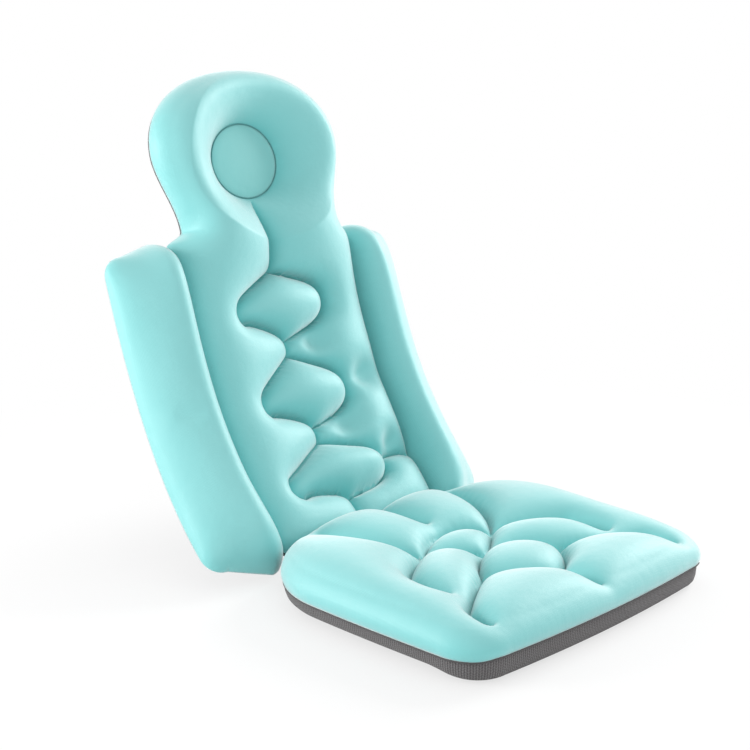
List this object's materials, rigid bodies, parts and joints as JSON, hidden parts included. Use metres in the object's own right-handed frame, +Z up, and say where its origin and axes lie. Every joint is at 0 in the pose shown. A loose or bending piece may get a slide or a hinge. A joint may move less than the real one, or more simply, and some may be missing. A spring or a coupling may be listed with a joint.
{
  "type": "bath pillow",
  "caption": "Full-length quilted bath pillow with a ring-shaped head rest, side bolsters, a folding back and a seat on suction cups.",
  "frame": {"origin": "on the floor, under the middle of the whole pillow with its back folded up", "axes": "+Z up, +Y towards the rear where the back stands, +X across the seat to the right of a person who faces the back"},
  "size_m": [0.498, 0.6554, 0.6098],
  "materials": {
    "cover_fabric": "smooth brushed stretch knit",
    "patch_fabric": "plain fine knit",
    "base_mesh": "ribbed spacer mesh",
    "edge_binding": "woven tape",
    "fibre_fill": "loose fibre",
    "cup_rubber": "smooth soft rubber",
    "eyelet_plastic": "moulded"
  },
  "bodies": {
    "seat": {"seat_quilted_top": "cover_fabric", "seat_fibre_core": "fibre_fill", "seat_base_mesh": "base_mesh", "seat_edge_binding": "edge_binding", "fold_strip": "base_mesh", "seat_rear_left_suction_cup": "cup_rubber", "seat_rear_left_cup_eyelet": "eyelet_plastic", "seat_rear_right_suction_cup": "cup_rubber", "seat_rear_right_cup_eyelet": "eyelet_plastic", "seat_front_left_suction_cup": "cup_rubber", "seat_front_left_cup_eyelet": "eyelet_plastic", "seat_front_right_suction_cup": "cup_rubber", "seat_front_right_cup_eyelet": "eyelet_plastic"},
    "back": {"back_quilted_top": "cover_fabric", "back_fibre_core": "fibre_fill", "back_base_mesh": "base_mesh", "back_edge_binding": "edge_binding", "head_centre_patch": "patch_fabric", "back_lower_left_suction_cup": "cup_rubber", "back_lower_left_cup_eyelet": "eyelet_plastic", "back_lower_right_suction_cup": "cup_rubber", "back_lower_right_cup_eyelet": "eyelet_plastic", "back_upper_left_suction_cup": "cup_rubber", "back_upper_left_cup_eyelet": "eyelet_plastic", "back_upper_right_suction_cup": "cup_rubber", "back_upper_right_cup_eyelet": "eyelet_plastic", "head_left_suction_cup": "cup_rubber", "head_left_cup_eyelet": "eyelet_plastic", "head_right_suction_cup": "cup_rubber", "head_right_cup_eyelet": "eyelet_plastic"},
    "left_wing": {"left_wing_cover": "cover_fabric", "left_wing_fibre_core": "fibre_fill", "left_wing_base_mesh": "base_mesh"},
    "right_wing": {"right_wing_cover": "cover_fabric", "right_wing_fibre_core": "fibre_fill", "right_wing_base_mesh": "base_mesh"}
  },
  "joints": [
    {"name": "back_fold", "type": "hinge", "parent": "seat", "child": "back", "pos_m": [0, 0.0574, 0.012], "axis": [1, 0, 0], "range_deg": [-35, 6]},
    {"name": "left_wing_fold", "type": "hinge", "parent": "back", "child": "left_wing", "pos_m": [-0.1504, 0.2094, 0.1807], "axis": [0, -0.5036, -0.8639], "range_deg": [0, 15]},
    {"name": "right_wing_fold", "type": "hinge", "parent": "back", "child": "right_wing", "pos_m": [0.1504, 0.2094, 0.1807], "axis": [0, 0.5036, 0.8639], "range_deg": [0, 15]}
  ]
}
